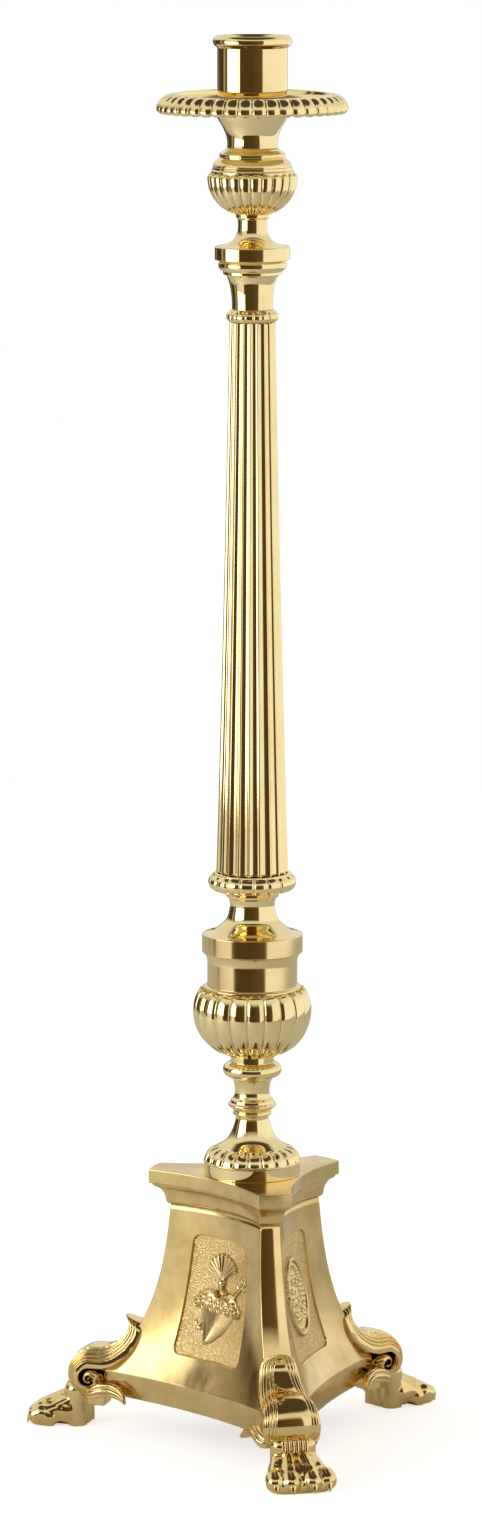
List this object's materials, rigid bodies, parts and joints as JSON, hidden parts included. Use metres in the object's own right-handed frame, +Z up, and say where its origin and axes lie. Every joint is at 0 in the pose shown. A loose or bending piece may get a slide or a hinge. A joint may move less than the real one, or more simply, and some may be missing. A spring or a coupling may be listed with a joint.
{
  "type": "altar candlestick",
  "caption": "Tall brass altar candlestick: fluted column and turned knops on a triangular paw-footed base, with a drip pan and a screw-on candle socket.",
  "frame": {"origin": "on the stem's axis, on the surface that the paws stand on", "axes": "+Z up along the stem; -Y towards the front paw; the other two paws stand 120 degrees to each side"},
  "size_m": [0.3044, 0.2696, 1],
  "materials": {
    "polished_brass": "polished and lacquered",
    "satin_brass": "satin casting",
    "matte_brass": "stippled matte ground",
    "steel": "plain"
  },
  "bodies": {
    "stand": {"base_body": "satin_brass", "base_cornice": "satin_brass", "heart_plaque": "matte_brass", "medallion_plaque": "matte_brass", "rear_plaque": "matte_brass", "plaque_screws": "steel", "foot_front": "polished_brass", "foot_right": "polished_brass", "foot_left": "polished_brass", "foot_screws": "steel", "foot_washers": "steel", "stem_foot": "polished_brass", "lower_baluster": "polished_brass", "collar_knop": "polished_brass", "lower_urn": "polished_brass", "lower_drum": "polished_brass", "lower_spool": "polished_brass", "lower_bead_ring": "polished_brass", "column_tube": "polished_brass", "column_plug_lower": "satin_brass", "column_plug_upper": "satin_brass", "upper_bead_ring": "polished_brass", "column_cap": "polished_brass", "upper_spool": "polished_brass", "upper_knop": "polished_brass", "pan_cup": "polished_brass", "tie_rod": "steel", "rod_washer": "steel", "rod_nut": "steel"},
    "pan": {"drip_pan": "polished_brass"},
    "socket": {"candle_socket": "polished_brass"}
  },
  "joints": [
    {"name": "pan_lift", "type": "slide", "parent": "stand", "child": "pan", "axis": [0, 0, 1], "range_m": [0, 0.03]},
    {"name": "socket_unscrew", "type": "hinge", "parent": "pan", "child": "socket", "pos_m": [0, 0, 0.957], "axis": [0, 0, 1], "continuous": true}
  ]
}
